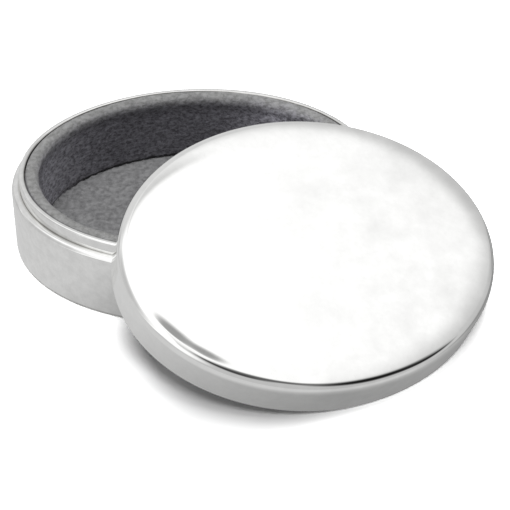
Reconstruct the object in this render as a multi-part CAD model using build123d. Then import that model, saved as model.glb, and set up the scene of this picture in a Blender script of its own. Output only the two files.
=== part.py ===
from build123d import *
import math
import os

# Oval trinket box in polished silver plate, lined with grey velvet.
# The base stands open, and the lid leans on the front right of its rim.
# Millimetres. The origin is the middle of the underside, X runs along the
# base's long axis, Z points up and the photograph looks roughly along +Y.

# Outline of the box, seen from above
length = 90.0
width = 72.0

# Clearances
fit_gap = 0.05
lid_gap = 0.3
lean_gap = 0.35
floor_gap = 0.3

# Base shell
foot_lift = 0.15
foot_rim = 1.2
foot_round = 0.5
shoulder_height = 17.0
shoulder_width = 2.0
shoulder_round = 0.6
base_wall = 0.9
base_floor = 0.8

# Collar that the lid fits over
collar_rise = 2.9
collar_wall = 1.4
collar_tail = 7.0
collar_round = 0.6
flange_thickness = 0.8

# Felt under the base
felt_thickness = 0.6

# Lining of the base
wall_card_thickness = 0.8
wall_velvet_thickness = 1.9
lining_below_collar = 0.3
velvet_over_card = 1.1
velvet_round_inside = 1.2
velvet_round_outside = 0.35
floor_card_thickness = 0.8
floor_velvet_thickness = 0.75
floor_velvet_round = 0.4

# Lid, in its own frame with Z = 0 at the plane of its rim
lid_side = 10.0
lid_crown = 1.0
lid_round = 2.4
lid_wall = 0.9
lid_rim_round = 0.3
lid_recess = 3.5
band_setback = 0.3
lid_velvet_thickness = 0.7
lid_card_thickness = 0.8
wadding_gap = 0.2

# How the lid leans, in degrees
lid_lean = 22.8
lean_direction = -59.7
lid_turn = 15.6
lid_sidestep = 1.9

# Heights and insets that follow from the sizes above
base_inside = felt_thickness + base_floor
collar_top = shoulder_height + collar_rise
lining_outer = shoulder_width + collar_wall + fit_gap
card_inner = lining_outer + wall_card_thickness
lining_inner = card_inner + fit_gap + wall_velvet_thickness
lining_top = collar_top - lining_below_collar
wall_card_top = lining_top - velvet_over_card
floor_inset = lining_inner + floor_gap
floor_card_top = base_inside + floor_card_thickness
floor_top = floor_card_top + floor_velvet_thickness
lid_lining_inset = lid_wall + fit_gap
lid_card_bottom = lid_recess + lid_velvet_thickness
wadding_bottom = lid_card_bottom + lid_card_thickness
lid_ceiling = lid_side - lid_wall


def closed_edges(solid):
    """The edges that run right round a piece, lowest first."""
    return solid.edges().filter_by(lambda edge: edge.is_closed).sort_by(Axis.Z)


def oval_block(inset, bottom, top):
    """A straight oval block, its side inset from the outline of the box."""
    outline = Ellipse(length / 2 - inset, width / 2 - inset)
    return extrude(Pos(0, 0, bottom) * outline, top - bottom)


def oval_ring(outer_inset, inner_inset, bottom, top):
    return oval_block(outer_inset, bottom, top) - oval_block(inner_inset, bottom, top)


def crowned_block(inset, bottom, side_top, edge_round):
    """An oval block with a gently domed top and a rounded upper edge."""
    half_length = length / 2 - inset
    half_width = width / 2 - inset
    apex = side_top + lid_crown
    crown_radius = (half_length**2 + lid_crown**2) / (2 * lid_crown)
    crown_middle = apex - crown_radius

    # The edge arc is tangent to the side and to the crown
    edge_x = half_length - edge_round
    edge_z = crown_middle + math.sqrt((crown_radius - edge_round) ** 2 - edge_x**2)
    meeting_angle = math.degrees(math.atan2(edge_z - crown_middle, edge_x))
    straight = Polyline((0, apex), (0, bottom), (half_length, bottom), (half_length, edge_z))
    edge = CenterArc((edge_x, edge_z), edge_round, 0, meeting_angle)
    crown = CenterArc((0, crown_middle), crown_radius, meeting_angle, 90 - meeting_angle)
    profile = make_face(Plane.XZ * (straight + edge + crown))
    return scale(revolve(profile, Axis.Z), by=(1, half_width / half_length, 1))


def make_base_shell():
    """Side, floor and turned-in shoulder, pressed from one sheet."""
    shell = oval_block(0, foot_lift, shoulder_height)
    shell = fillet(closed_edges(shell)[-1], shoulder_round)
    shell = fillet(closed_edges(shell)[0], foot_round)
    shell -= oval_block(foot_rim, foot_lift, felt_thickness)
    shell -= oval_block(base_wall, base_inside, shoulder_height - base_wall)
    shell -= oval_block(shoulder_width - fit_gap, base_inside, shoulder_height)
    return shell


def make_rim_collar():
    """The raised collar, with a flange that hooks under the shoulder."""
    collar = oval_ring(
        shoulder_width,
        shoulder_width + collar_wall,
        shoulder_height - collar_tail,
        collar_top,
    )
    top_edges = closed_edges(collar)[-2:]
    collar = fillet(top_edges, min(collar_round, 0.45 * collar_wall))
    flange_top = shoulder_height - base_wall
    flange = oval_ring(
        base_wall + fit_gap,
        shoulder_width + collar_wall,
        flange_top - flange_thickness,
        flange_top,
    )
    return collar + flange


def make_base_felt():
    """The felt let into the underside, which the base stands on."""
    return oval_block(foot_rim + fit_gap, 0, felt_thickness)


def make_wall_card():
    """The card strip that keeps the wall lining upright."""
    return oval_ring(lining_outer, card_inner, base_inside, wall_card_top)


def make_wall_velvet():
    """The velvet wall, turned over the top of its card in a soft roll."""
    velvet = oval_ring(lining_outer, lining_inner, base_inside, lining_top)
    rims = closed_edges(velvet)[-2:].sort_by(lambda edge: edge.length)
    velvet = fillet(rims[0], velvet_round_inside)
    rims = closed_edges(velvet)[-2:].sort_by(lambda edge: edge.length)
    velvet = fillet(rims[-1], velvet_round_outside)
    card_space = oval_ring(
        lining_outer - fit_gap,
        card_inner + fit_gap,
        base_inside,
        wall_card_top + fit_gap,
    )
    return velvet - card_space


def make_floor_card():
    return oval_block(floor_inset, base_inside, floor_card_top)


def make_floor_velvet():
    """The velvet pad that covers the floor card."""
    pad = oval_block(floor_inset, floor_card_top, floor_top)
    return fillet(closed_edges(pad)[-1], floor_velvet_round)


def make_lid_shell():
    """The crowned lid with its rounded edge, pressed from one sheet."""
    shell = crowned_block(0, 0, lid_side, lid_round)
    shell = fillet(closed_edges(shell)[0], lid_rim_round)
    return shell - crowned_block(lid_wall, 0, lid_ceiling, lid_round - lid_wall)


def make_lid_band():
    """The band inside the lid that slides over the collar."""
    inner_inset = shoulder_width - lid_gap
    return oval_ring(lid_lining_inset, inner_inset, band_setback, lid_recess)


def make_lid_velvet():
    """The velvet face of the lid's lining, held up by the band's top edge."""
    return oval_block(lid_lining_inset, lid_recess, lid_card_bottom)


def make_lid_card():
    return oval_block(lid_lining_inset, lid_card_bottom, wadding_bottom)


def make_lid_wadding():
    """The wadding between the lid's card and its metal top."""
    inset = lid_wall + wadding_gap
    top = lid_ceiling - wadding_gap
    return crowned_block(inset, wadding_bottom, top, lid_round - lid_wall)


def lid_location():
    """Where the leaning lid sits: its rim on the table, its lining on the collar."""
    sine = math.sin(math.radians(lid_lean))
    cosine = math.cos(math.radians(lid_lean))
    slope = math.radians(lean_direction)
    skew = math.radians(lid_turn - lean_direction)

    # The lowest point of the rim touches the table
    rim_reach = math.hypot(length / 2 * math.cos(skew), width / 2 * math.sin(skew))
    middle_height = rim_reach * sine - lid_rim_round * (sine + cosine - 1)

    # The lining passes lean_gap above the nearest point of the rounded collar
    collar_reach = math.hypot(
        (length / 2 - shoulder_width) * math.cos(slope),
        (width / 2 - shoulder_width) * math.sin(slope),
    )
    collar_height = (collar_reach - collar_round) * sine + collar_round
    collar_height += (collar_top - collar_round) * cosine
    lining_height = lid_recess - lean_gap
    lean_distance = (collar_height - lining_height - middle_height * cosine) / sine

    middle_x = lean_distance * math.cos(slope) - lid_sidestep * math.sin(slope)
    middle_y = lean_distance * math.sin(slope) + lid_sidestep * math.cos(slope)
    lean = Rot(0, 0, lean_direction) * Rot(0, lid_lean, 0)
    return Pos(middle_x, middle_y, middle_height) * lean * Rot(0, 0, lid_turn - lean_direction)


base_pieces = {
    "base_shell": make_base_shell(),
    "rim_collar": make_rim_collar(),
    "base_felt": make_base_felt(),
    "wall_card": make_wall_card(),
    "wall_velvet": make_wall_velvet(),
    "floor_card": make_floor_card(),
    "floor_velvet": make_floor_velvet(),
}

lid_pieces = {
    "lid_shell": make_lid_shell(),
    "lid_band": make_lid_band(),
    "lid_velvet": make_lid_velvet(),
    "lid_card": make_lid_card(),
    "lid_wadding": make_lid_wadding(),
}

os.makedirs("parts", exist_ok=True)
leaning = lid_location()
for name, piece in base_pieces.items():
    export_step(piece, f"parts/{name}.step")
for name, piece in lid_pieces.items():
    export_step(leaning * piece, f"parts/{name}.step")
print("lid middle", leaning.position, "lining floor at", floor_top, "collar top at", collar_top)
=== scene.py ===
import math

import bpy
from mathutils import Matrix, Vector, noise


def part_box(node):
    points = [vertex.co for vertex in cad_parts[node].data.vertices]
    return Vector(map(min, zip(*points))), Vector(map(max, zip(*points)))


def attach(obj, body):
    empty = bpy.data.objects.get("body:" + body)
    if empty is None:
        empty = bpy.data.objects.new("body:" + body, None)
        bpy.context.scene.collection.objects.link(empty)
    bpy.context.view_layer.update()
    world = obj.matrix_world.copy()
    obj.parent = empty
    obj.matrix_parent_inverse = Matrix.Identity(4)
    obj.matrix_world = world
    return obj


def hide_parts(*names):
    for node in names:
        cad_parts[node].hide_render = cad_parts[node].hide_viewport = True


# Oval trinket box in polished silver plate with a grey velvet lining. The base stands
# open, and the lid leans on the front right of its rim.
# Each piece is an oval, so it is drawn as loops that are inset from the outline of the
# box. The lid's pieces are drawn level and leaned at the end.
# The collar and the velvet roll inside it stand 0.3 mm higher than their solids, and the
# roll rises another 0.5 mm towards the back.

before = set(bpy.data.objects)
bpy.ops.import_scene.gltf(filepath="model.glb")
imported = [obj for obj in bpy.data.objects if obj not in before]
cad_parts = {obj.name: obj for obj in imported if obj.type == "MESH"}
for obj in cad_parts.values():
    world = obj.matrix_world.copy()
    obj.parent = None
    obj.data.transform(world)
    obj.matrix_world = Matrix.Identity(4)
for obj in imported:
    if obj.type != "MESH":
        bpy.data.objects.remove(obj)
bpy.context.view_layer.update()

mm = 0.001

# Outline of the box
half_length = 45.0 * mm
half_width = 36.0 * mm

# Base and collar
fit_gap = 0.05 * mm
foot_lift = 0.15 * mm
foot_rim = 1.2 * mm
foot_round = 0.5 * mm
shoulder_height = 17.0 * mm
shoulder_width = 2.0 * mm
shoulder_round = 1.4 * mm
base_wall = 0.9 * mm
base_floor = 0.8 * mm
felt_thickness = 0.6 * mm
collar_rise = 3.2 * mm
collar_wall = 1.4 * mm
collar_tail = 7.0 * mm
collar_round = 0.6 * mm
flange_thickness = 0.8 * mm

# Velvet lining of the base
wall_card_thickness = 0.8 * mm
wall_velvet_thickness = 1.9 * mm
lining_below_collar = 0.3 * mm
velvet_over_card = 1.1 * mm
roll_round = 1.6 * mm
roll_outside_round = 0.8 * mm
roll_bulge = 0.45 * mm
bulge_height = 2.2 * mm
roll_lift_at_back = 0.5 * mm
roll_pulled_in_at_back = 0.12 * mm
floor_gap = 0.3 * mm
floor_card_thickness = 0.8 * mm
floor_velvet_thickness = 0.75 * mm
floor_velvet_round = 0.5 * mm
pad_puff = 0.1 * mm
pad_shrinkage = 0.1 * mm
pad_short_of_back = 0.25 * mm

# Lid, level, with its rim at height 0
lid_side = 10.0 * mm
lid_round = 2.4 * mm
lid_wall = 0.9 * mm
lid_rim_round = 0.3 * mm
lid_recess = 3.5 * mm
band_setback = 0.3 * mm
band_round = 0.2 * mm
lid_gap = 0.3 * mm
lid_velvet_thickness = 0.7 * mm
lid_velvet_round = 0.2 * mm
lid_card_thickness = 0.8 * mm
wadding_gap = 0.2 * mm
wadding_round = 2.0 * mm
wadding_crown = 0.5 * mm
wadding_dents = 0.35 * mm

# The lid's top falls away from its middle, ever faster towards its outline
crown_fall = 1.5 * mm
crown_power = 8

# How the lid leans, in degrees
lid_lean = 22.8
lean_direction = -59.7
lid_turn = 15.6

# Camera, as worked out from the outlines in the photograph
camera_place = Vector((-11.63, -356.03, 275.68)) * mm
camera_down = 38.54
camera_turn = 4.18
camera_lens = 126.9

# How finely the pieces are drawn: sides of a loop, and rings from edge to middle
silver_sides = 256
wall_velvet_sides = 640
floor_velvet_sides = 400
small_pad_sides = 256
wadding_sides = 240
crown_rings = 48
pad_rings = 60
wadding_rings = 40

# Half the width of the small oval that closes the middle of a top
crown_middle = 0.4 * mm
pad_middle = 0.5 * mm

# How near a point counts as on a loop, how near two points are one, and the angle in
# degrees past which an edge stays sharp
height_slack = 0.002 * mm
oval_slack = 0.0004
merge_distance = 0.001 * mm
sharp_angle = 50

# Heights and insets that follow
mean_half = (half_length * half_width) ** 0.5
base_inside = felt_thickness + base_floor
collar_top = shoulder_height + collar_rise
collar_inner = shoulder_width + collar_wall
lining_outer = collar_inner + fit_gap
card_inner = lining_outer + wall_card_thickness
lining_inner = card_inner + fit_gap + wall_velvet_thickness
lining_top = collar_top - lining_below_collar
card_top = lining_top - velvet_over_card
floor_inset = lining_inner + floor_gap
floor_bottom = base_inside + floor_card_thickness
floor_top = floor_bottom + floor_velvet_thickness
lid_lining_inset = lid_wall + fit_gap
lid_velvet_top = lid_recess + lid_velvet_thickness
wadding_bottom = lid_velvet_top + lid_card_thickness

# Sockets of a node that mixes two colours
share_in = 0
first_in = 6
second_in = 7
mixed_out = 2


def linear(hex_colour):
    """An sRGB hex colour as the linear RGBA that shaders take."""
    channels = [int(hex_colour[i : i + 2], 16) / 255 for i in (1, 3, 5)]
    curved = [c / 12.92 if c <= 0.04045 else ((c + 0.055) / 1.055) ** 2.4 for c in channels]
    return (*curved, 1.0)


def grey(tone):
    return (tone, tone, tone, 1)


def add_node(tree, kind, inputs=None, **settings):
    """Adds a node, sets its properties, and fills or links its inputs."""
    node = tree.nodes.new(kind)
    for name, value in settings.items():
        setattr(node, name, value)
    for name, value in (inputs or {}).items():
        if isinstance(value, bpy.types.NodeSocket):
            tree.links.new(value, node.inputs[name])
        else:
            node.inputs[name].default_value = value
    return node


def find_node(tree, kind):
    """The one node of a kind in a material that is already made."""
    return next(node for node in tree.nodes if node.type == kind)


def new_material(name):
    material = bpy.data.materials.new(name)
    material.use_nodes = True
    material.node_tree.nodes.clear()
    return material, material.node_tree


# Drawing ovals

def add_oval(name, inset, height, sides):
    """Starts a piece as one oval loop, left selected in edit mode."""
    bpy.ops.object.select_all(action="DESELECT")
    bpy.ops.mesh.primitive_circle_add(vertices=sides, radius=1)
    piece = bpy.context.object
    piece.name = name
    bpy.ops.object.mode_set(mode="EDIT")
    bpy.ops.mesh.select_all(action="SELECT")
    halves = (half_length - inset, half_width - inset, 1)
    bpy.ops.transform.resize(value=halves, center_override=(0, 0, 0))
    bpy.ops.transform.translate(value=(0, 0, height))
    return piece


def draw_on(start, end):
    """Extrudes the selected loop from one inset and height to the next."""
    inset, height = start
    next_inset, next_height = end
    grow_x = (half_length - next_inset) / (half_length - inset)
    grow_y = (half_width - next_inset) / (half_width - inset)
    bpy.ops.mesh.extrude_edges_move()
    bpy.ops.transform.resize(value=(grow_x, grow_y, 1), center_override=(0, 0, 0))
    bpy.ops.transform.translate(value=(0, 0, next_height - height))


def draw_oval_piece(name, outline, sides, capped=False):
    """Draws a piece through a list of loops, each an inset and a height. A capped piece
    has a face on its first loop and on its last."""
    piece = add_oval(name, *outline[0], sides)
    if capped:
        bpy.ops.mesh.edge_face_add()
        bpy.ops.mesh.select_all(action="SELECT")
    for start, end in zip(outline, outline[1:]):
        draw_on(start, end)
    if capped:
        bpy.ops.mesh.edge_face_add()
    bpy.ops.mesh.select_all(action="SELECT")
    bpy.ops.mesh.remove_doubles(threshold=merge_distance)
    bpy.ops.mesh.normals_make_consistent(inside=False)
    bpy.ops.mesh.select_all(action="DESELECT")
    bpy.ops.object.mode_set(mode="OBJECT")
    return piece


def runs(start, end, count):
    """Points along a straight stretch of an outline, without its start."""
    points = []
    for step in range(1, count + 1):
        share = step / count
        inset = start[0] + (end[0] - start[0]) * share
        height = start[1] + (end[1] - start[1]) * share
        points.append((inset, height))
    return points


def arc(inset, height, radius, start, end, steps):
    """Points along an arc of an outline, from one angle in degrees to another."""
    points = []
    for step in range(steps + 1):
        angle = math.radians(start + (end - start) * step / steps)
        points.append((inset + radius * math.cos(angle), height + radius * math.sin(angle)))
    return points


def select_piece(piece):
    bpy.ops.object.select_all(action="DESELECT")
    piece.select_set(True)
    bpy.context.view_layer.objects.active = piece


def on_loop(point, inset, height):
    """Whether a point lies on the loop with this inset and height."""
    across = (point.x / (half_length - inset)) ** 2 + (point.y / (half_width - inset)) ** 2
    return abs(point.z - height) < height_slack and abs(across - 1) < oval_slack


def round_loop(piece, inset, height, radius, steps):
    """Rounds the edge that runs along one loop of a piece."""
    select_piece(piece)
    mesh = piece.data
    held = [on_loop(v.co, inset, height) for v in mesh.vertices]
    for edge in mesh.edges:
        first, second = edge.vertices
        edge.select = held[first] and held[second]
    bpy.ops.object.mode_set(mode="EDIT")
    bpy.ops.mesh.select_mode(type="EDGE")
    bpy.ops.mesh.bevel(offset=radius, segments=steps, profile=0.5, affect="EDGES")
    bpy.ops.mesh.select_all(action="DESELECT")
    bpy.ops.object.mode_set(mode="OBJECT")


def smooth_metal(piece):
    """Smooth shading that keeps flat faces flat beside their rounded edges."""
    select_piece(piece)
    bpy.ops.object.shade_smooth_by_angle(angle=math.radians(sharp_angle))
    bpy.ops.object.modifier_add(type="WEIGHTED_NORMAL")
    piece.modifiers[-1].keep_sharp = True
    bpy.ops.object.modifier_apply(modifier=piece.modifiers[-1].name)


def smooth_cloth(piece):
    select_piece(piece)
    bpy.ops.object.shade_smooth()


# Silver plated pieces

def make_base_shell():
    """The base's side, foot and turned-in shoulder, pressed from one sheet."""
    outline = [
        (foot_rim, felt_thickness),
        (foot_rim, foot_lift),
        (0, foot_lift),
        (0, shoulder_height),
        (shoulder_width - fit_gap, shoulder_height),
        (shoulder_width - fit_gap, shoulder_height - base_wall),
        (base_wall, shoulder_height - base_wall),
        (base_wall, base_inside),
    ]
    piece = draw_oval_piece("base_shell_plate", outline, silver_sides, capped=True)
    round_loop(piece, 0, foot_lift, foot_round, 5)
    round_loop(piece, 0, shoulder_height, shoulder_round, 7)
    smooth_metal(piece)
    return piece


def make_rim_collar():
    """The raised collar, with the flange that hooks under the shoulder."""
    flange_top = shoulder_height - base_wall
    flange_bottom = flange_top - flange_thickness
    tail = shoulder_height - collar_tail
    outline = [
        (shoulder_width, collar_top),
        (shoulder_width, flange_top),
        (base_wall + fit_gap, flange_top),
        (base_wall + fit_gap, flange_bottom),
        (shoulder_width, flange_bottom),
        (shoulder_width, tail),
        (collar_inner, tail),
        (collar_inner, collar_top),
        (shoulder_width, collar_top),
    ]
    piece = draw_oval_piece("rim_collar_plate", outline, silver_sides)
    round_loop(piece, shoulder_width, collar_top, collar_round, 7)
    round_loop(piece, collar_inner, collar_top, collar_round, 7)
    smooth_metal(piece)
    return piece


def make_lid_shell():
    """The lid's pressed shell: a short side, a rounded edge and a crowned top."""
    outline = [(lid_wall, lid_side - lid_wall), (lid_wall, 0), (0, 0), (0, lid_side - lid_round)]

    # The edge's arc ends where it is as steep as the top
    edge_share = (1 - lid_round / half_width) ** (crown_power - 1)
    edge_slope = crown_fall * crown_power * edge_share / half_width
    arc_end = math.pi / 2 - math.atan(edge_slope)
    arc_steps = 16
    for step in range(1, arc_steps + 1):
        turn = arc_end * step / arc_steps
        inset = lid_round * (1 - math.cos(turn))
        outline.append((inset, lid_side - lid_round * (1 - math.sin(turn))))

    # The top's rings lie closest together near the edge, where it curves most
    start_inset, start_height = outline[-1]
    start_share = (1 - start_inset / half_width) ** crown_power
    crowding = 1.4
    reach = half_width - crown_middle
    for ring in range(1, crown_rings + 1):
        inset = start_inset + (reach - start_inset) * (ring / crown_rings) ** crowding
        share = (1 - inset / half_width) ** crown_power
        outline.append((inset, start_height + crown_fall * (start_share - share)))
    piece = draw_oval_piece("lid_shell_plate", outline, silver_sides, capped=True)
    round_loop(piece, 0, 0, lid_rim_round, 4)
    smooth_metal(piece)
    return piece


def make_lid_band():
    """The band inside the lid's rim that slides over the collar."""
    inner = shoulder_width - lid_gap
    outline = [
        (lid_lining_inset, band_setback),
        (inner, band_setback),
        (inner, lid_recess),
        (lid_lining_inset, lid_recess),
        (lid_lining_inset, band_setback),
    ]
    piece = draw_oval_piece("lid_band_plate", outline, silver_sides)
    round_loop(piece, inner, band_setback, band_round, 4)
    smooth_metal(piece)
    return piece


# Velvet, felt and wadding

def smooth_step(share):
    """Eases from 0 to 1."""
    share = min(1.0, max(0.0, share))
    return share * share * (3 - 2 * share)


def inset_of(point):
    """How far in from the outline of the box a point lies, near enough."""
    across = math.hypot(point.x / half_length, point.y / half_width)
    return (1 - across) * mean_half


def tease(piece, moves):
    """Moves a soft piece's points in and out by noise. Each move is a depth, the size
    of its waves, and how far each point follows it."""
    mesh = piece.data
    mesh.update()
    shifts = []
    for vertex in mesh.vertices:
        shift = 0.0
        for depth, size, follows in moves:
            shift += depth * follows(vertex.co) * noise.noise(vertex.co / size)
        shifts.append(vertex.normal * shift)
    for vertex, shift in zip(mesh.vertices, shifts):
        vertex.co += shift
    mesh.update()


def make_wall_velvet():
    """The velvet wall, which turns over the top of its card in a soft roll."""
    roll_middle = lining_top - roll_round
    bulge_bottom = roll_middle - bulge_height
    outline = [(lining_inner, base_inside)]
    outline += runs(outline[-1], (lining_inner, bulge_bottom), 36)
    bulge_steps = 8
    for step in range(1, bulge_steps + 1):
        share = step / bulge_steps
        inset = lining_inner + roll_bulge * smooth_step(share)
        outline.append((inset, bulge_bottom + bulge_height * share))
    outline += arc(lining_inner + roll_bulge - roll_round, roll_middle, roll_round, 0, 90, 10)[1:]
    outside = lining_outer + roll_outside_round
    outline += runs(outline[-1], (outside, lining_top), 4)[:-1]
    outline += arc(outside, lining_top - roll_outside_round, roll_outside_round, 90, 180, 4)
    outline += [
        (lining_outer, card_top + fit_gap),
        (card_inner + fit_gap, card_top + fit_gap),
        (card_inner + fit_gap, base_inside),
        (lining_inner, base_inside),
    ]
    piece = draw_oval_piece("wall_velvet_lining", outline, wall_velvet_sides)
    smooth_cloth(piece)
    raise_roll_at_back(piece)

    def inner_face(point):
        beyond_card = inset_of(point) - lining_outer - 0.5 * mm
        return min(1.0, max(0.0, beyond_card / (1.2 * mm)))

    tease(piece, [(0.22 * mm, 7 * mm, inner_face), (0.12 * mm, 1.6 * mm, inner_face)])
    return piece


def raise_roll_at_back(piece):
    """Lifts the roll towards the back, and draws its outer edge in from the collar."""
    for vertex in piece.data.vertices:
        point = vertex.co
        back = smooth_step((point.y + 15 * mm) / (35 * mm))
        high = smooth_step((point.z - lining_top + 3 * mm) / (2.5 * mm))
        outer = 1 - smooth_step((inset_of(point) - lining_outer) / (1.2 * mm))
        drawn_in = 1 - roll_pulled_in_at_back * back * high * outer / mean_half
        point.x *= drawn_in
        point.y *= drawn_in
        point.z += roll_lift_at_back * back * high


def make_velvet_pad(name, inset, bottom, top, puff, rounded, sides):
    """A thin pad of velvet over card, its face slightly puffed and its edge soft."""
    puff_reach = 2.5 * mm
    outline = [(inset, bottom), (inset, top)]
    reach = half_width - pad_middle
    for ring in range(1, pad_rings + 1):
        at = inset + (reach - inset) * ring / pad_rings
        rise = puff * (1 - math.exp(-(at - inset) / puff_reach))
        outline.append((at, top + rise))
    piece = draw_oval_piece(name, outline, sides, capped=True)
    round_loop(piece, inset, top, rounded, 4)
    smooth_cloth(piece)
    return piece


def make_floor_velvet():
    """The floor's velvet pad, a little short of the wall, so that a dark seam shows."""
    inset = floor_inset + pad_shrinkage
    piece = make_velvet_pad(
        "floor_velvet_pad",
        inset,
        floor_bottom,
        floor_top,
        pad_puff,
        floor_velvet_round,
        floor_velvet_sides,
    )
    select_piece(piece)
    bpy.ops.object.mode_set(mode="EDIT")
    bpy.ops.mesh.select_all(action="SELECT")
    narrower = 1 - pad_short_of_back / (half_width - inset)
    bpy.ops.transform.resize(value=(1, narrower, 1), center_override=(0, 0, 0))
    bpy.ops.mesh.select_all(action="DESELECT")
    bpy.ops.object.mode_set(mode="OBJECT")

    def face(point):
        return 1.0 if point.z > floor_bottom + 0.1 * mm else 0.0

    def edge(point):
        return face(point) * max(0.0, 1 - (inset_of(point) - inset) / (1.5 * mm))

    tease(piece, [(0.12 * mm, 14 * mm, face), (0.45 * mm, 1.5 * mm, edge)])
    return piece


def make_base_felt():
    """The felt disc let into the foot, which the base stands on."""
    outline = [(foot_rim + fit_gap, 0), (foot_rim + fit_gap, felt_thickness)]
    piece = draw_oval_piece("base_felt_pad", outline, small_pad_sides, capped=True)
    select_piece(piece)
    bpy.ops.object.shade_smooth_by_angle(angle=math.radians(sharp_angle))
    return piece


def make_lid_velvet():
    """The flat velvet face of the lid's lining."""
    return make_velvet_pad(
        "lid_velvet_pad",
        lid_lining_inset,
        lid_recess,
        lid_velvet_top,
        0,
        lid_velvet_round,
        small_pad_sides,
    )


def make_lid_wadding():
    """The soft filling between the lid's card and its metal top, dented all over."""
    inset = lid_wall + wadding_gap
    side_top = lid_side - lid_wall - wadding_gap - wadding_round
    outline = [(inset, wadding_bottom)]
    outline += runs(outline[-1], (inset, side_top), 3)
    outline += arc(inset + wadding_round, side_top, wadding_round, 180, 90, 6)
    start_inset, start_height = outline[-1]
    reach = half_width - pad_middle
    for ring in range(1, wadding_rings + 1):
        at = start_inset + (reach - start_inset) * ring / wadding_rings
        rise = wadding_crown * math.sin(math.pi / 2 * ring / wadding_rings)
        outline.append((at, start_height + rise))
    piece = draw_oval_piece("lid_wadding_fill", outline, wadding_sides, capped=True)
    smooth_cloth(piece)
    for vertex in piece.data.vertices:
        if vertex.co.z > wadding_bottom + 0.5 * mm:
            vertex.co.z -= wadding_dents * abs(noise.noise(vertex.co / (5 * mm)))
    piece.data.update()
    return piece


# Finishes

def make_silver(name, dull):
    """Silver plate, buffed to a mirror. The eye sees a clear reflection, with fine
    mottling from the polishing cloth, and faint clouds that grow stronger towards the right."""
    material, tree = new_material(name)
    coords = add_node(tree, "ShaderNodeTexCoord")
    place = coords.outputs["Object"]
    smear = add_node(
        tree,
        "ShaderNodeTexNoise",
        {"Vector": place, "Scale": 1 / (16 * mm), "Detail": 3.0},
    )
    roughness = add_node(
        tree,
        "ShaderNodeMapRange",
        {"Value": smear.outputs["Fac"], "To Min": 0.03, "To Max": 0.06},
    )
    mottle = add_node(
        tree,
        "ShaderNodeTexNoise",
        {"Vector": place, "Scale": 1 / (2.5 * mm), "Detail": 4.0, "Roughness": 0.65},
    )
    wiped = add_node(
        tree,
        "ShaderNodeMapRange",
        {"Value": mottle.outputs["Fac"], "From Min": 0.35, "From Max": 0.65},
    )
    metal = add_node(
        tree,
        "ShaderNodeMix",
        {
            share_in: wiped.outputs["Result"],
            first_in: linear(dull),
            second_in: linear("#FBFBFA"),
        },
        data_type="RGBA",
    )

    # The clouds grow stronger towards the right
    clouds = add_node(
        tree,
        "ShaderNodeTexNoise",
        {"Vector": place, "Scale": 1 / (14 * mm), "Detail": 4.0, "Roughness": 0.6},
    )
    split = add_node(tree, "ShaderNodeSeparateXYZ", {"Vector": place})
    more_on_right = add_node(
        tree,
        "ShaderNodeMapRange",
        {
            "Value": split.outputs["X"],
            "From Min": 8 * mm,
            "From Max": 36 * mm,
            "To Min": 0.1,
        },
    )
    hazy = add_node(
        tree,
        "ShaderNodeMapRange",
        {
            "Value": clouds.outputs["Fac"],
            "From Min": 0.38,
            "From Max": 0.72,
            "To Max": more_on_right.outputs["Result"],
        },
    )
    clouded = add_node(
        tree,
        "ShaderNodeMix",
        {
            share_in: hazy.outputs["Result"],
            first_in: metal.outputs[mixed_out],
            second_in: linear("#E5E5E4"),
        },
        data_type="RGBA",
    )
    shader = add_node(
        tree,
        "ShaderNodeBsdfPrincipled",
        {
            "Base Color": clouded.outputs[mixed_out],
            "Metallic": 1.0,
            "Roughness": roughness.outputs["Result"],
        },
    )
    add_node(tree, "ShaderNodeOutputMaterial", {"Surface": shader.outputs["BSDF"]})
    return material


def measure_from_oval(tree, place, inset):
    """How far outside an oval a point of the surface lies, near enough."""
    level = add_node(
        tree,
        "ShaderNodeMapping",
        {"Vector": place, "Scale": (1 / (half_length - inset), 1 / (half_width - inset), 0)},
    )
    out = add_node(
        tree,
        "ShaderNodeVectorMath",
        {0: level.outputs["Vector"]},
        operation="LENGTH",
    )
    middling = (half_length + half_width) / 2 - inset
    across = add_node(
        tree,
        "ShaderNodeMath",
        {0: out.outputs["Value"], 1: middling, 2: -middling},
        operation="MULTIPLY_ADD",
    )
    return across.outputs["Value"]


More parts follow.
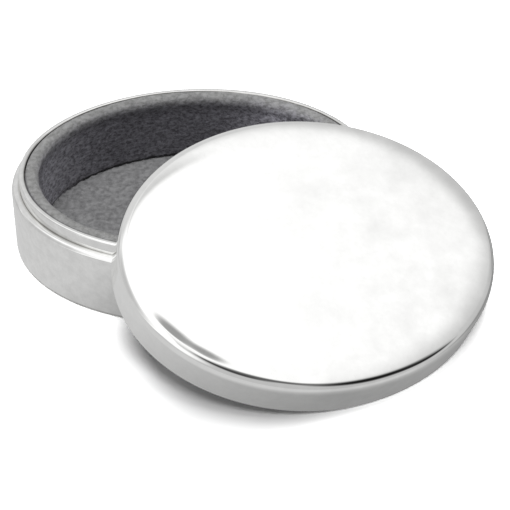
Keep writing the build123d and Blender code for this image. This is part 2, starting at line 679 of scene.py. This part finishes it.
def paint_dark_line(material, inset, height, reach, dark_tone, left_only):
    """Darkens the base's colour in patches along one line round the base."""
    tree = material.node_tree
    shader = find_node(tree, "BSDF_PRINCIPLED")
    place = find_node(tree, "TEX_COORD").outputs["Object"]
    across = measure_from_oval(tree, place, inset)
    split = add_node(tree, "ShaderNodeSeparateXYZ", {"Vector": place})
    above = add_node(
        tree,
        "ShaderNodeMath",
        {0: split.outputs["Z"], 1: height},
        operation="SUBTRACT",
    )
    offset = add_node(
        tree,
        "ShaderNodeCombineXYZ",
        {"X": across, "Y": above.outputs["Value"]},
    )
    away = add_node(
        tree,
        "ShaderNodeVectorMath",
        {0: offset.outputs["Vector"]},
        operation="LENGTH",
    )
    near = add_node(
        tree,
        "ShaderNodeMapRange",
        {"Value": away.outputs["Value"], "From Min": reach, "From Max": 0.2 * reach},
        interpolation_type="SMOOTHSTEP",
    )
    patches = add_node(
        tree,
        "ShaderNodeTexNoise",
        {"Vector": place, "Scale": 1 / (4 * mm), "Detail": 3.0},
    )
    patchy = add_node(
        tree,
        "ShaderNodeMapRange",
        {"Value": patches.outputs["Fac"], "From Min": 0.3, "From Max": 0.6, "To Min": 0.6},
    )
    strength = add_node(
        tree,
        "ShaderNodeMath",
        {0: near.outputs["Result"], 1: patchy.outputs["Result"]},
        operation="MULTIPLY",
    )
    if left_only:
        leftward = add_node(
            tree,
            "ShaderNodeMapRange",
            {
                "Value": split.outputs["X"],
                "From Min": -15 * mm,
                "From Max": -36 * mm,
                "To Min": 0.2,
            },
        )
        strength = add_node(
            tree,
            "ShaderNodeMath",
            {0: strength.outputs["Value"], 1: leftward.outputs["Result"]},
            operation="MULTIPLY",
        )
    darkened = add_node(
        tree,
        "ShaderNodeMix",
        {
            share_in: strength.outputs["Value"],
            first_in: shader.inputs["Base Color"].links[0].from_socket,
            second_in: linear(dark_tone),
        },
        data_type="RGBA",
    )
    tree.links.new(darkened.outputs[mixed_out], shader.inputs["Base Color"])


def make_velvet(name, low_hex, high_hex, track_length, track_height, relief):
    """Short-napped grey velvet, matt, with a pale sheen at grazing angles. The nap
    clumps into worm-like tracks. Single fibres are too fine to show, so the finest
    fuzz is drawn a quarter of a millimetre wide."""
    material, tree = new_material(name)
    coords = add_node(tree, "ShaderNodeTexCoord")
    place = coords.outputs["Object"]
    brushed = add_node(
        tree,
        "ShaderNodeMapping",
        {"Vector": place, "Scale": (1 / track_length, 1 / track_length, 1 / track_height)},
    )
    tracks = add_node(
        tree,
        "ShaderNodeTexNoise",
        {
            "Vector": brushed.outputs["Vector"],
            "Scale": 1.0,
            "Detail": 3.0,
            "Roughness": 0.6,
            "Distortion": 0.3,
        },
    )
    fuzz = add_node(
        tree,
        "ShaderNodeTexNoise",
        {"Vector": place, "Scale": 1 / (0.25 * mm), "Detail": 2.0},
    )
    pile = add_node(
        tree,
        "ShaderNodeMath",
        {0: fuzz.outputs["Fac"], 1: 0.35, 2: tracks.outputs["Fac"]},
        operation="MULTIPLY_ADD",
    )
    share = add_node(
        tree,
        "ShaderNodeMapRange",
        {"Value": pile.outputs["Value"], "From Min": 0.5, "From Max": 0.85},
    )
    tone = add_node(
        tree,
        "ShaderNodeMix",
        {
            share_in: share.outputs["Result"],
            first_in: linear(low_hex),
            second_in: linear(high_hex),
        },
        data_type="RGBA",
    )
    bump = add_node(
        tree,
        "ShaderNodeBump",
        {"Height": pile.outputs["Value"], "Strength": 0.8, "Distance": relief},
    )
    shader = add_node(
        tree,
        "ShaderNodeBsdfPrincipled",
        {
            "Base Color": tone.outputs[mixed_out],
            "Roughness": 1.0,
            "Specular IOR Level": 0.1,
            "Sheen Weight": 0.25,
            "Sheen Roughness": 0.5,
            "Normal": bump.outputs["Normal"],
        },
    )
    add_node(tree, "ShaderNodeOutputMaterial", {"Surface": shader.outputs["BSDF"]})
    return material


def share_shaded_nap(tree, split, uneven_height):
    """How far the wall's darker nap colour reaches: wholly below the roll, and sooner at the back.
    That darker colour is partly the nap that hangs down and partly painted shade.
    """
    sooner_at_back = add_node(
        tree,
        "ShaderNodeMapRange",
        {
            "Value": split.outputs["Y"],
            "From Min": -5 * mm,
            "From Max": 25 * mm,
            "To Max": -0.9 * mm,
        },
    )
    nap_height = add_node(
        tree,
        "ShaderNodeMath",
        {0: uneven_height, 1: sooner_at_back.outputs["Result"]},
        operation="ADD",
    )
    hangs = add_node(
        tree,
        "ShaderNodeMapRange",
        {
            "Value": nap_height.outputs["Value"],
            "From Min": lining_top + 0.7 * mm,
            "From Max": lining_top - 2.2 * mm,
        },
    )
    return hangs.outputs["Result"]


def painted_light_on_nap(tree, split):
    """Painted light on the wall's darker nap: a factor on its colour, little at the back and more
    to both ends.
    """
    from_back = add_node(
        tree,
        "ShaderNodeMath",
        {0: split.outputs["X"], 1: 8 * mm},
        operation="ADD",
    )
    sideways = add_node(
        tree,
        "ShaderNodeMath",
        {0: from_back.outputs["Value"]},
        operation="ABSOLUTE",
    )
    towards_ends = add_node(
        tree,
        "ShaderNodeMapRange",
        {"Value": sideways.outputs["Value"], "From Max": 30 * mm},
    )
    turned = add_node(
        tree,
        "ShaderNodeMath",
        {0: towards_ends.outputs["Result"], 1: 4.5},
        operation="POWER",
    )
    caught = add_node(
        tree,
        "ShaderNodeMath",
        {0: turned.outputs["Value"], 1: 2.1, 2: 0.77},
        operation="MULTIPLY_ADD",
    )
    return caught.outputs["Value"]


def share_seam_shade(tree, split, uneven_height):
    """Painted shade low on the wall where it meets the floor pad's edge, least of all on the left.
    """
    pressed = add_node(
        tree,
        "ShaderNodeMapRange",
        {
            "Value": uneven_height,
            "From Min": floor_top + 1.0 * mm,
            "From Max": floor_top + 0.6 * mm,
        },
        interpolation_type="SMOOTHSTEP",
    )
    less_on_left = add_node(
        tree,
        "ShaderNodeMapRange",
        {
            "Value": split.outputs["X"],
            "From Min": -34 * mm,
            "From Max": -28 * mm,
            "To Min": 0.3,
        },
    )
    seam_shade = add_node(
        tree,
        "ShaderNodeMath",
        {0: pressed.outputs["Result"], 1: less_on_left.outputs["Result"]},
        operation="MULTIPLY",
    )
    return seam_shade.outputs["Value"]


def share_groove_shade(tree, place):
    """Painted shade where the velvet's outer edge meets the collar."""
    outside = measure_from_oval(tree, place, lining_outer)
    in_groove = add_node(
        tree,
        "ShaderNodeMapRange",
        {"Value": outside, "From Min": -0.4 * mm, "From Max": -0.05 * mm},
        interpolation_type="SMOOTHSTEP",
    )
    return in_groove.outputs["Result"]


def let_nap_hang(material, shaded_nap_low, shaded_nap_high, seam_shade, groove_shade):
    """On the wall the nap hangs down, and over the roll it stands up. The wall's colour is darker,
    partly from the nap and partly painted shade, most of all at the back, with painted light
    towards both ends. Painted shade makes it darkest low on the wall by the floor pad and where
    it meets the collar."""
    tree = material.node_tree
    standing = find_node(tree, "MIX")
    shader = find_node(tree, "BSDF_PRINCIPLED")
    place = find_node(tree, "TEX_COORD").outputs["Object"]
    split = add_node(tree, "ShaderNodeSeparateXYZ", {"Vector": place})
    ragged = add_node(
        tree,
        "ShaderNodeTexNoise",
        {"Vector": place, "Scale": 1 / (1.6 * mm), "Detail": 3.0},
    )
    uneven = add_node(
        tree,
        "ShaderNodeMath",
        {0: ragged.outputs["Fac"], 1: 1.8 * mm, 2: split.outputs["Z"]},
        operation="MULTIPLY_ADD",
    )
    shaded_nap = add_node(
        tree,
        "ShaderNodeMix",
        {
            share_in: standing.inputs[share_in].links[0].from_socket,
            first_in: linear(shaded_nap_low),
            second_in: linear(shaded_nap_high),
        },
        data_type="RGBA",
    )
    # Painted light: the darker nap colour scaled by its place along the wall
    lit = add_node(
        tree,
        "ShaderNodeVectorMath",
        {0: shaded_nap.outputs[mixed_out], "Scale": painted_light_on_nap(tree, split)},
        operation="SCALE",
    )
    open_nap = add_node(
        tree,
        "ShaderNodeMix",
        {
            share_in: share_shaded_nap(tree, split, uneven.outputs["Value"]),
            first_in: standing.outputs[mixed_out],
            second_in: lit.outputs["Vector"],
        },
        data_type="RGBA",
    )
    # Painted shade low on the wall, by the floor pad
    seam_shaded_nap = add_node(
        tree,
        "ShaderNodeMix",
        {
            share_in: share_seam_shade(tree, split, uneven.outputs["Value"]),
            first_in: open_nap.outputs[mixed_out],
            second_in: linear(seam_shade),
        },
        data_type="RGBA",
    )
    # Painted shade where the velvet meets the collar
    edged_nap = add_node(
        tree,
        "ShaderNodeMix",
        {
            share_in: share_groove_shade(tree, place),
            first_in: seam_shaded_nap.outputs[mixed_out],
            second_in: linear(groove_shade),
        },
        data_type="RGBA",
    )
    tree.links.new(edged_nap.outputs[mixed_out], shader.inputs["Base Color"])


def make_wadding():
    """Polyester wadding, white and matt, a tangle of fine crimped fibres."""
    material, tree = new_material("polyester_wadding_white")
    coords = add_node(tree, "ShaderNodeTexCoord")
    tangle = add_node(
        tree,
        "ShaderNodeTexNoise",
        {
            "Vector": coords.outputs["Object"],
            "Scale": 1 / (1.2 * mm),
            "Detail": 6.0,
            "Distortion": 2.0,
        },
    )
    tone = add_node(
        tree,
        "ShaderNodeMix",
        {
            share_in: tangle.outputs["Fac"],
            first_in: linear("#D6D6D2"),
            second_in: linear("#F2F2EF"),
        },
        data_type="RGBA",
    )
    bump = add_node(
        tree,
        "ShaderNodeBump",
        {"Height": tangle.outputs["Fac"], "Strength": 0.8, "Distance": 0.4 * mm},
    )
    shader = add_node(
        tree,
        "ShaderNodeBsdfPrincipled",
        {
            "Base Color": tone.outputs[mixed_out],
            "Roughness": 1.0,
            "Normal": bump.outputs["Normal"],
        },
    )
    add_node(tree, "ShaderNodeOutputMaterial", {"Surface": shader.outputs["BSDF"]})
    return material


def make_felt():
    """Pressed black felt, matt, with short stray fibres."""
    material, tree = new_material("felt_black_pressed")
    coords = add_node(tree, "ShaderNodeTexCoord")
    fibres = add_node(
        tree,
        "ShaderNodeTexNoise",
        {"Vector": coords.outputs["Object"], "Scale": 1 / (0.7 * mm), "Detail": 6.0},
    )
    tone = add_node(tree, "ShaderNodeValToRGB", {"Fac": fibres.outputs["Fac"]})
    tone.color_ramp.elements[0].color = linear("#141416")
    tone.color_ramp.elements[1].color = linear("#3A3A3D")
    bump = add_node(
        tree,
        "ShaderNodeBump",
        {"Height": fibres.outputs["Fac"], "Strength": 0.5, "Distance": 0.2 * mm},
    )
    shader = add_node(
        tree,
        "ShaderNodeBsdfPrincipled",
        {
            "Base Color": tone.outputs["Color"],
            "Roughness": 1.0,
            "Normal": bump.outputs["Normal"],
        },
    )
    add_node(tree, "ShaderNodeOutputMaterial", {"Surface": shader.outputs["BSDF"]})
    return material


def make_card():
    """Grey mill board, matt and slightly flecked."""
    material, tree = new_material("grey_board")
    coords = add_node(tree, "ShaderNodeTexCoord")
    flecks = add_node(
        tree,
        "ShaderNodeTexNoise",
        {"Vector": coords.outputs["Object"], "Scale": 1 / (1.4 * mm), "Detail": 5.0},
    )
    tone = add_node(tree, "ShaderNodeValToRGB", {"Fac": flecks.outputs["Fac"]})
    tone.color_ramp.elements[0].color = linear("#8B857A")
    tone.color_ramp.elements[1].color = linear("#B5AFA4")
    shader = add_node(
        tree,
        "ShaderNodeBsdfPrincipled",
        {"Base Color": tone.outputs["Color"], "Roughness": 0.9},
    )
    add_node(tree, "ShaderNodeOutputMaterial", {"Surface": shader.outputs["BSDF"]})
    return material


# Putting the pieces together

def dress(piece, material, body, nodes):
    """Gives a piece its finish and its body, and puts it in place of its solids."""
    piece.data.materials.clear()
    piece.data.materials.append(material)
    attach(piece, body)
    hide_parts(*nodes)


def lean(piece):
    """Leans a level lid piece to where the lid rests."""
    low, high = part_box("lid_band")
    band_middle = (Vector(low) + Vector(high)) / 2
    towards = Matrix.Rotation(math.radians(lean_direction), 4, "Z")
    tilt = Matrix.Rotation(math.radians(lid_lean), 4, "Y")
    spin = Matrix.Rotation(math.radians(lid_turn - lean_direction), 4, "Z")
    turn = towards @ tilt @ spin
    axis = turn.to_3x3() @ Vector((0, 0, 1))
    middle = band_middle - axis * (band_setback + lid_recess) / 2
    select_piece(piece)
    piece.matrix_world = Matrix.Translation(middle) @ turn
    bpy.ops.object.transform_apply(location=True, rotation=True, scale=True)


silver = make_silver("silver_plate_polished_lid", "#F6F6F5")
base_silver = make_silver("silver_plate_polished_base", "#EFEFEE")
# A darker line along the collar's foot, stronger on the left
paint_dark_line(base_silver, shoulder_width, shoulder_height, 0.6 * mm, "#CFCECB", True)
# Painted shade along the collar's inner edge, beside the velvet
paint_dark_line(base_silver, collar_inner, collar_top - 0.45 * mm, 0.7 * mm, "#A8A6A2", False)
# Painted shade along the foot, where the base meets the paper
paint_dark_line(base_silver, 0, foot_lift, 0.8 * mm, "#989692", False)
wall_cloth = make_velvet("velvet_grey_wall", "#80807F", "#A2A2A2", 1.1 * mm, 0.65 * mm, 0.2 * mm)
# The wall's nap: a darker colour that is partly painted shade, then painted shade by the floor pad
# and by the collar
let_nap_hang(wall_cloth, "#413F45", "#84838A", "#1E1D20", "#5F5E62")
floor_cloth = make_velvet("velvet_grey_floor", "#686869", "#8C8C8D", 1.4 * mm, 1.4 * mm, 0.12 * mm)
wadding = make_wadding()
felt = make_felt()
card = make_card()

base_shell = make_base_shell()
rim_collar = make_rim_collar()
wall_velvet = make_wall_velvet()
floor_velvet = make_floor_velvet()
base_felt = make_base_felt()
lid_shell = make_lid_shell()
lid_band = make_lid_band()
lid_velvet = make_lid_velvet()
lid_wadding = make_lid_wadding()
for piece in (lid_shell, lid_band, lid_velvet, lid_wadding):
    lean(piece)

dress(base_shell, base_silver, "base", ["base_shell"])
dress(rim_collar, base_silver, "base", ["rim_collar"])
dress(wall_velvet, wall_cloth, "base", ["wall_velvet"])
dress(floor_velvet, floor_cloth, "base", ["floor_velvet"])
dress(base_felt, felt, "base", ["base_felt"])
dress(lid_shell, silver, "lid", ["lid_shell"])
dress(lid_band, silver, "lid", ["lid_band"])
dress(lid_velvet, floor_cloth, "lid", ["lid_velvet"])
dress(lid_wadding, wadding, "lid", ["lid_wadding"])

for name in ("wall_card", "floor_card", "lid_card"):
    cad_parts[name].data.materials.clear()
    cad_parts[name].data.materials.append(card)


# Studio

# What the metal mirrors: softboxes, paper, grey cards, and the dark gaps in front.
# Each has an azimuth, an elevation, an inner and an outer radius in degrees, and a tone.
wall_tone = 0.54
studio_panels = {
    "softbox on the left": (-176, 42, 39, 43, 1.3),
    "paper on the left": (-130, 29, 8, 26, 1.1),
    "softbox overhead": (15, 77, 13, 56, 1.09),
    "grey card behind": (81, 68, 4, 13, 0.67),
    "paper behind": (109, 29, 24, 39, 0.71),
    "wall on the right": (44, 25, 1.5, 27.5, 0.6),
    "wall at the front right": (-10, 27, 1, 34, 0.61),
    "gap low on the right": (-23, 23, 1, 13.5, 0.02),
    "wall behind": (78, 28, 4, 28, 0.65),
    "gap beside the camera": (-36, 36, 5, 23, 0.01),
    "edge of the gap": (-60, 53, 1, 16, 0.12),
    "camera": (-84, 47, 5, 16, 0.06),
    "lamp inside the softbox": (42, 77, 14.5, 18.5, 1.12),
    "boom over the table": (-47, 80, 2, 6, 0.35),
    "end of the boom": (-40, 74, 0.5, 4.5, 0.34),
    "wall far on the left": (-183, 21, 3.5, 41.5, 0.55),
    "gap low behind on the right": (30, 2, 4, 12, 0.25),
}

# What lights the cloth and the paper: an even glow from all round, and lamps, each with
# its share of the light, an azimuth, an elevation and a spread in degrees
studio_glow = 0.18
lamps = {
    "softbox_overhead": (0.56, -140, 80, 29),
    "softbox_by_camera": (0.26, -92, 56, 14),
}

# The paper: how much of the light it gives back to the box, and two places on it that its
# mirrored glow goes by, with a painted shadow under the lid and painted shade on the right
paper_tone = 0.75
under_lid = (22.7 * mm, -35 * mm, 0)
far_right = (140 * mm, -10 * mm, 0)

# Painted shadow where the shadow on the paper is deepest: a place, an inner and an outer
# radius in mm, and how much of its brightness the paper keeps there. This fits the lid where
# it rests, and leaves pale smudges on the paper when the lid is lifted away.
painted_shadows = {
    "in front of the lid": (4, -68, 6, 26, 0.78),
    "between the base and the lid": (-13, -40, 3, 13, 0.68),
}


def make_mirrored_paper(tree, place):
    """The paper as the metal mirrors it: a glow, with a painted shadow under the lid and painted
    shade on the right.
    """
    from_lid = add_node(
        tree,
        "ShaderNodeVectorMath",
        {0: place, 1: under_lid},
        operation="DISTANCE",
    )
    painted_lid_shadow = add_node(
        tree,
        "ShaderNodeMapRange",
        {
            "Value": from_lid.outputs["Value"],
            "From Min": 28 * mm,
            "From Max": 67 * mm,
            "To Min": 0.3,
            "To Max": 0.63,
        },
        interpolation_type="SMOOTHSTEP",
    )
    from_right = add_node(
        tree,
        "ShaderNodeVectorMath",
        {0: place, 1: far_right},
        operation="DISTANCE",
    )
    painted_shade_on_right = add_node(
        tree,
        "ShaderNodeMapRange",
        {
            "Value": from_right.outputs["Value"],
            "From Min": 56 * mm,
            "From Max": 100 * mm,
            "To Min": 0.48,
        },
    )
    tone = add_node(
        tree,
        "ShaderNodeMath",
        {0: painted_lid_shadow.outputs["Result"], 1: painted_shade_on_right.outputs["Result"]},
        operation="MULTIPLY",
    )
    mirrored = add_node(tree, "ShaderNodeEmission", {"Color": tone.outputs["Value"]})
    return mirrored.outputs["Emission"]


def make_seen_paper(tree, place):
    """The paper as the camera sees it, bright enough to come out white in full light.
    It is painted brighter on the right, which lifts the lid's shadow there, and painted
    darker where the shadow is deepest."""
    split = add_node(tree, "ShaderNodeSeparateXYZ", {"Vector": place})
    # Painted light: the paper brighter towards the right, which lifts the lid's shadow there
    bright = add_node(
        tree,
        "ShaderNodeMapRange",
        {
            "Value": split.outputs["X"],
            "From Min": 16 * mm,
            "From Max": 44 * mm,
            "To Min": 1.42,
            "To Max": 2.2,
        },
        interpolation_type="SMOOTHSTEP",
    )
    tone = bright.outputs["Result"]
    # Painted shadow at each of the places listed above
    for across, along, inner, outer, deepest in painted_shadows.values():
        away = add_node(
            tree,
            "ShaderNodeVectorMath",
            {0: place, 1: (across * mm, along * mm, 0)},
            operation="DISTANCE",
        )
        depth = add_node(
            tree,
            "ShaderNodeMapRange",
            {
                "Value": away.outputs["Value"],
                "From Min": inner * mm,
                "From Max": outer * mm,
                "To Min": deepest,
            },
            interpolation_type="SMOOTHSTEP",
        )
        deepened = add_node(
            tree,
            "ShaderNodeMath",
            {0: tone, 1: depth.outputs["Result"]},
            operation="MULTIPLY",
        )
        tone = deepened.outputs["Value"]
    seen = add_node(tree, "ShaderNodeBsdfDiffuse", {"Color": tone})
    return seen.outputs["BSDF"]


def make_floor():
    """A wide sheet of white paper, matt and even, for the box to stand on. To the camera and
    in the metal it carries painted shadow and painted light.
    """
    bpy.ops.object.select_all(action="DESELECT")
    bpy.ops.mesh.primitive_plane_add(size=6, location=(0, 0, 0))
    floor = bpy.context.object
    floor.name = "studio_floor"
    material, tree = new_material("white_paper_floor")
    light_path = add_node(tree, "ShaderNodeLightPath")
    coords = add_node(tree, "ShaderNodeTexCoord")
    place = coords.outputs["Object"]
    lit = add_node(tree, "ShaderNodeBsdfDiffuse", {"Color": grey(paper_tone)})
    unseen = add_node(
        tree,
        "ShaderNodeMixShader",
        {
            0: light_path.outputs["Is Glossy Ray"],
            1: lit.outputs["BSDF"],
            2: make_mirrored_paper(tree, place),
        },
    )
    paper = add_node(
        tree,
        "ShaderNodeMixShader",
        {
            0: light_path.outputs["Is Camera Ray"],
            1: unseen.outputs["Shader"],
            2: make_seen_paper(tree, place),
        },
    )
    add_node(tree, "ShaderNodeOutputMaterial", {"Surface": paper.outputs["Shader"]})
    material.cycles.emission_sampling = "NONE"
    floor.data.materials.append(material)


def make_world():
    """What the metal mirrors, an even glow for the cloth and paper, and white behind."""
    world = bpy.data.worlds.new("studio")
    bpy.context.scene.world = world
    world.use_nodes = True
    tree = world.node_tree
    tree.nodes.clear()
    light_path = add_node(tree, "ShaderNodeLightPath")
    coords = add_node(tree, "ShaderNodeTexCoord")
    mirrored = grey(wall_tone)
    for azimuth, elevation, inner, outer, tone in studio_panels.values():
        across = math.cos(math.radians(elevation))
        towards = (
            across * math.cos(math.radians(azimuth)),
            across * math.sin(math.radians(azimuth)),
            math.sin(math.radians(elevation)),
        )
        facing = add_node(
            tree,
            "ShaderNodeVectorMath",
            {0: coords.outputs["Generated"], 1: towards},
            operation="DOT_PRODUCT",
        )
        cover = add_node(
            tree,
            "ShaderNodeMapRange",
            {
                "Value": facing.outputs["Value"],
                "From Min": math.cos(math.radians(outer)),
                "From Max": math.cos(math.radians(inner)),
            },
            interpolation_type="SMOOTHSTEP",
        )
        layer = add_node(
            tree,
            "ShaderNodeMix",
            {
                share_in: cover.outputs["Result"],
                first_in: mirrored,
                second_in: grey(tone),
            },
            data_type="RGBA",
        )
        mirrored = layer.outputs[mixed_out]

    lights_cloth = add_node(
        tree,
        "ShaderNodeMath",
        {0: light_path.outputs["Diffuse Depth"], 1: 1.0},
        operation="MINIMUM",
    )
    studio = add_node(
        tree,
        "ShaderNodeMix",
        {
            share_in: lights_cloth.outputs["Value"],
            first_in: mirrored,
            second_in: grey(studio_glow),
        },
        data_type="RGBA",
    )
    shown = add_node(
        tree,
        "ShaderNodeMix",
        {
            share_in: light_path.outputs["Is Camera Ray"],
            first_in: studio.outputs[mixed_out],
            second_in: grey(1),
        },
        data_type="RGBA",
    )
    background = add_node(tree, "ShaderNodeBackground", {"Color": shown.outputs[mixed_out]})
    add_node(tree, "ShaderNodeOutputWorld", {"Surface": background.outputs["Background"]})


def make_lamps():
    """Softboxes for the cloth and the paper; the metal sees them in the world instead."""
    for name, (share, azimuth, elevation, spread) in lamps.items():
        data = bpy.data.lights.new(name, type="SUN")
        data.energy = share * math.pi / math.sin(math.radians(elevation))
        data.angle = math.radians(spread)
        lamp = bpy.data.objects.new(name, data)
        bpy.context.scene.collection.objects.link(lamp)
        lamp.rotation_euler = (math.radians(90 - elevation), 0, math.radians(azimuth + 90))
        lamp.visible_glossy = False


def make_camera():
    """The camera, where the photograph was taken from."""
    data = bpy.data.cameras.new("camera")
    data.sensor_fit = "HORIZONTAL"
    data.sensor_width = 36
    data.lens = camera_lens
    camera = bpy.data.objects.new("camera", data)
    bpy.context.scene.collection.objects.link(camera)
    camera.location = camera_place
    camera.rotation_euler = (math.radians(90 - camera_down), 0, math.radians(-camera_turn))
    bpy.context.scene.camera = camera


make_floor()
make_world()
make_lamps()
make_camera()
bpy.context.scene.view_settings.view_transform = "Standard"
